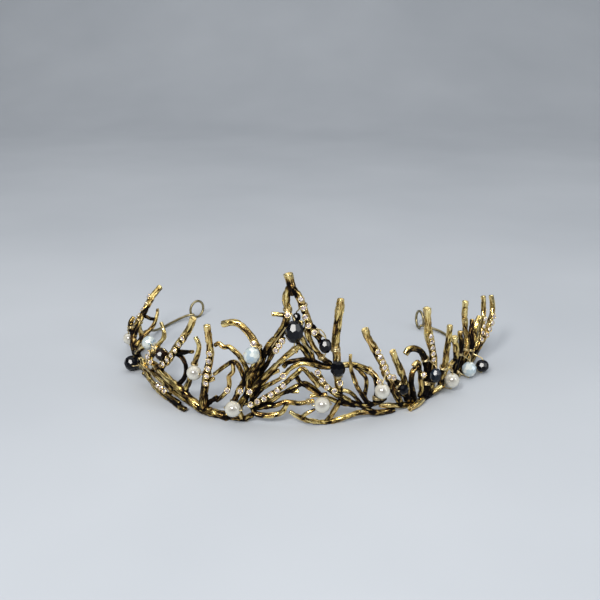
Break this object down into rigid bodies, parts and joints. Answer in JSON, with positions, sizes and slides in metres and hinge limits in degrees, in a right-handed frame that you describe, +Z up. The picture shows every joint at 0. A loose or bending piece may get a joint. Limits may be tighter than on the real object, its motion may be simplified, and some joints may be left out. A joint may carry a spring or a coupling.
{
  "type": "tiara",
  "caption": "Open-backed twig tiara of antique gold cast sprigs with wired pearls, opal and black glass beads and rows of rhinestones, ending in two bendable eye-loop wires.",
  "frame": {"origin": "middle of the footprint, on the resting plane under the base strands", "axes": "+Z up from the resting plane, -Y towards the front of the tiara, +Y towards its open back, +X to the right seen from the front"},
  "size_m": [0.1634, 0.1198, 0.0579],
  "materials": {
    "antique_gold": "antique gold casting, bright on the ridges and nearly black in the grooves",
    "pale_gold_wire": "pale gold wire, polished",
    "pearl": "creamy imitation pearl with a soft lustre",
    "opal_glass": "milky pale blue faceted glass",
    "black_glass": "opaque black faceted glass, very glossy",
    "rhinestone": "clear faceted rhinestones"
  },
  "bodies": {
    "tiara_frame": {"left_end_sprig": "antique_gold", "left_wing_sprig": "antique_gold", "left_centre_sprig": "antique_gold", "peak_sprig": "antique_gold", "centre_lattice_sprig": "antique_gold", "right_centre_sprig": "antique_gold", "right_wing_sprig": "antique_gold", "right_end_sprig": "antique_gold", "left_end_wire": "pale_gold_wire", "right_end_wire": "pale_gold_wire", "pearl_left_end_wire": "pale_gold_wire", "pearl_left_wing_wire": "pale_gold_wire", "pearl_left_base_wire": "pale_gold_wire", "pearl_centre_base_wire": "pale_gold_wire", "pearl_right_wing_wire": "pale_gold_wire", "pearl_right_end_wire": "pale_gold_wire", "opal_left_end_wire": "pale_gold_wire", "opal_left_centre_wire": "pale_gold_wire", "opal_right_end_wire": "pale_gold_wire", "black_left_end_wire": "pale_gold_wire", "black_left_wing_wire": "pale_gold_wire", "black_peak_wire": "pale_gold_wire", "black_peak_upper_wire": "pale_gold_wire", "black_peak_right_wire": "pale_gold_wire", "black_centre_right_wire": "pale_gold_wire", "black_right_wing_wire": "pale_gold_wire", "black_right_spike_wire": "pale_gold_wire", "black_right_end_wire": "pale_gold_wire", "rhinestones_left_end_shoot": "rhinestone", "rhinestones_left_end_foot": "rhinestone", "rhinestones_left_diagonal": "rhinestone", "rhinestones_left_base": "rhinestone", "rhinestones_left_spike": "rhinestone", "rhinestones_left_centre": "rhinestone", "rhinestones_peak": "rhinestone", "rhinestones_peak_inner": "rhinestone", "rhinestones_centre_strand": "rhinestone", "rhinestones_right_strand": "rhinestone", "rhinestones_right_wing_spike": "rhinestone", "rhinestones_right_spike": "rhinestone", "rhinestones_right_end_inner": "rhinestone", "rhinestones_right_end_outer": "rhinestone"},
    "pearl_left_end": {"pearl_left_end": "pearl"},
    "pearl_left_wing": {"pearl_left_wing": "pearl"},
    "pearl_left_base": {"pearl_left_base": "pearl"},
    "pearl_centre_base": {"pearl_centre_base": "pearl"},
    "pearl_right_wing": {"pearl_right_wing": "pearl"},
    "pearl_right_end": {"pearl_right_end": "pearl"},
    "opal_left_end": {"opal_left_end": "opal_glass"},
    "opal_left_centre": {"opal_left_centre": "opal_glass"},
    "opal_right_end": {"opal_right_end": "opal_glass"},
    "black_bead_left_end": {"black_bead_left_end": "black_glass"},
    "black_bead_left_wing": {"black_bead_left_wing": "black_glass"},
    "black_bead_peak": {"black_bead_peak": "black_glass"},
    "black_bead_peak_upper": {"black_bead_peak_upper": "black_glass"},
    "black_bead_peak_right": {"black_bead_peak_right": "black_glass"},
    "black_bead_centre_right": {"black_bead_centre_right": "black_glass"},
    "black_bead_right_wing": {"black_bead_right_wing": "black_glass"},
    "black_bead_right_spike": {"black_bead_right_spike": "black_glass"},
    "black_bead_right_end": {"black_bead_right_end": "black_glass"}
  },
  "joints": [
    {"name": "pearl_left_end_spin", "type": "hinge", "parent": "tiara_frame", "child": "pearl_left_end", "pos_m": [-0.07905, 0.01236, 0.0058], "axis": [0, 0, 1], "continuous": true},
    {"name": "pearl_left_wing_spin", "type": "hinge", "parent": "tiara_frame", "child": "pearl_left_wing", "pos_m": [-0.03792, -0.04852, 0.018], "axis": [0.891, -0.454, 0], "continuous": true},
    {"name": "pearl_left_base_spin", "type": "hinge", "parent": "tiara_frame", "child": "pearl_left_base", "pos_m": [-0.02309, -0.0548, 0.007], "axis": [0.9677, -0.2521, 0], "continuous": true},
    {"name": "pearl_centre_base_spin", "type": "hinge", "parent": "tiara_frame", "child": "pearl_centre_base", "pos_m": [0.00914, -0.056, 0.0102], "axis": [0.9839, 0.1788, 0], "continuous": true},
    {"name": "pearl_right_wing_spin", "type": "hinge", "parent": "tiara_frame", "child": "pearl_right_wing", "pos_m": [0.03066, -0.04858, 0.0127], "axis": [0, 0, 1], "continuous": true},
    {"name": "pearl_right_end_spin", "type": "hinge", "parent": "tiara_frame", "child": "pearl_right_end", "pos_m": [0.05941, -0.02095, 0.0049], "axis": [0, 0, 1], "continuous": true},
    {"name": "opal_left_end_spin", "type": "hinge", "parent": "tiara_frame", "child": "opal_left_end", "pos_m": [-0.06159, -0.01966, 0.0174], "axis": [0.5446, -0.8387, 0], "continuous": true},
    {"name": "opal_left_centre_spin", "type": "hinge", "parent": "tiara_frame", "child": "opal_left_centre", "pos_m": [-0.01564, -0.05613, 0.0288], "axis": [0.4419, -0.0684, 0.8944], "continuous": true},
    {"name": "opal_right_end_spin", "type": "hinge", "parent": "tiara_frame", "child": "opal_right_end", "pos_m": [0.06802, -0.00785, 0.0041], "axis": [0, 0, 1], "continuous": true},
    {"name": "black_bead_left_end_spin", "type": "hinge", "parent": "tiara_frame", "child": "black_bead_left_end", "pos_m": [-0.07234, -0.00896, 0.0036], "axis": [0.3633, -0.9317, 0], "continuous": true},
    {"name": "black_bead_left_wing_spin", "type": "hinge", "parent": "tiara_frame", "child": "black_bead_left_wing", "pos_m": [-0.05273, -0.0359, 0.0197], "axis": [0.3313, -0.3004, 0.8944], "continuous": true},
    {"name": "black_bead_peak_spin", "type": "hinge", "parent": "tiara_frame", "child": "black_bead_peak", "pos_m": [-0.00059, -0.05692, 0.0383], "axis": [0, 0, 1], "continuous": true},
    {"name": "black_bead_peak_upper_spin", "type": "hinge", "parent": "tiara_frame", "child": "black_bead_peak_upper", "pos_m": [-0.0003, -0.0505, 0.0412], "axis": [0, 0, 1], "continuous": true},
    {"name": "black_bead_peak_right_spin", "type": "hinge", "parent": "tiara_frame", "child": "black_bead_peak_right", "pos_m": [0.01007, -0.054, 0.0321], "axis": [0, 0, 1], "continuous": true},
    {"name": "black_bead_centre_right_spin", "type": "hinge", "parent": "tiara_frame", "child": "black_bead_centre_right", "pos_m": [0.01447, -0.05473, 0.0238], "axis": [0, 0, 1], "continuous": true},
    {"name": "black_bead_right_wing_spin", "type": "hinge", "parent": "tiara_frame", "child": "black_bead_right_wing", "pos_m": [0.03872, -0.04218, 0.0105], "axis": [0.8121, 0.5835, 0], "continuous": true},
    {"name": "black_bead_right_spike_spin", "type": "hinge", "parent": "tiara_frame", "child": "black_bead_right_spike", "pos_m": [0.0516, -0.03129, 0.0116], "axis": [0, 0, 1], "continuous": true},
    {"name": "black_bead_right_end_spin", "type": "hinge", "parent": "tiara_frame", "child": "black_bead_right_end", "pos_m": [0.07409, -0.00267, 0.00345], "axis": [0, 0, 1], "continuous": true}
  ]
}
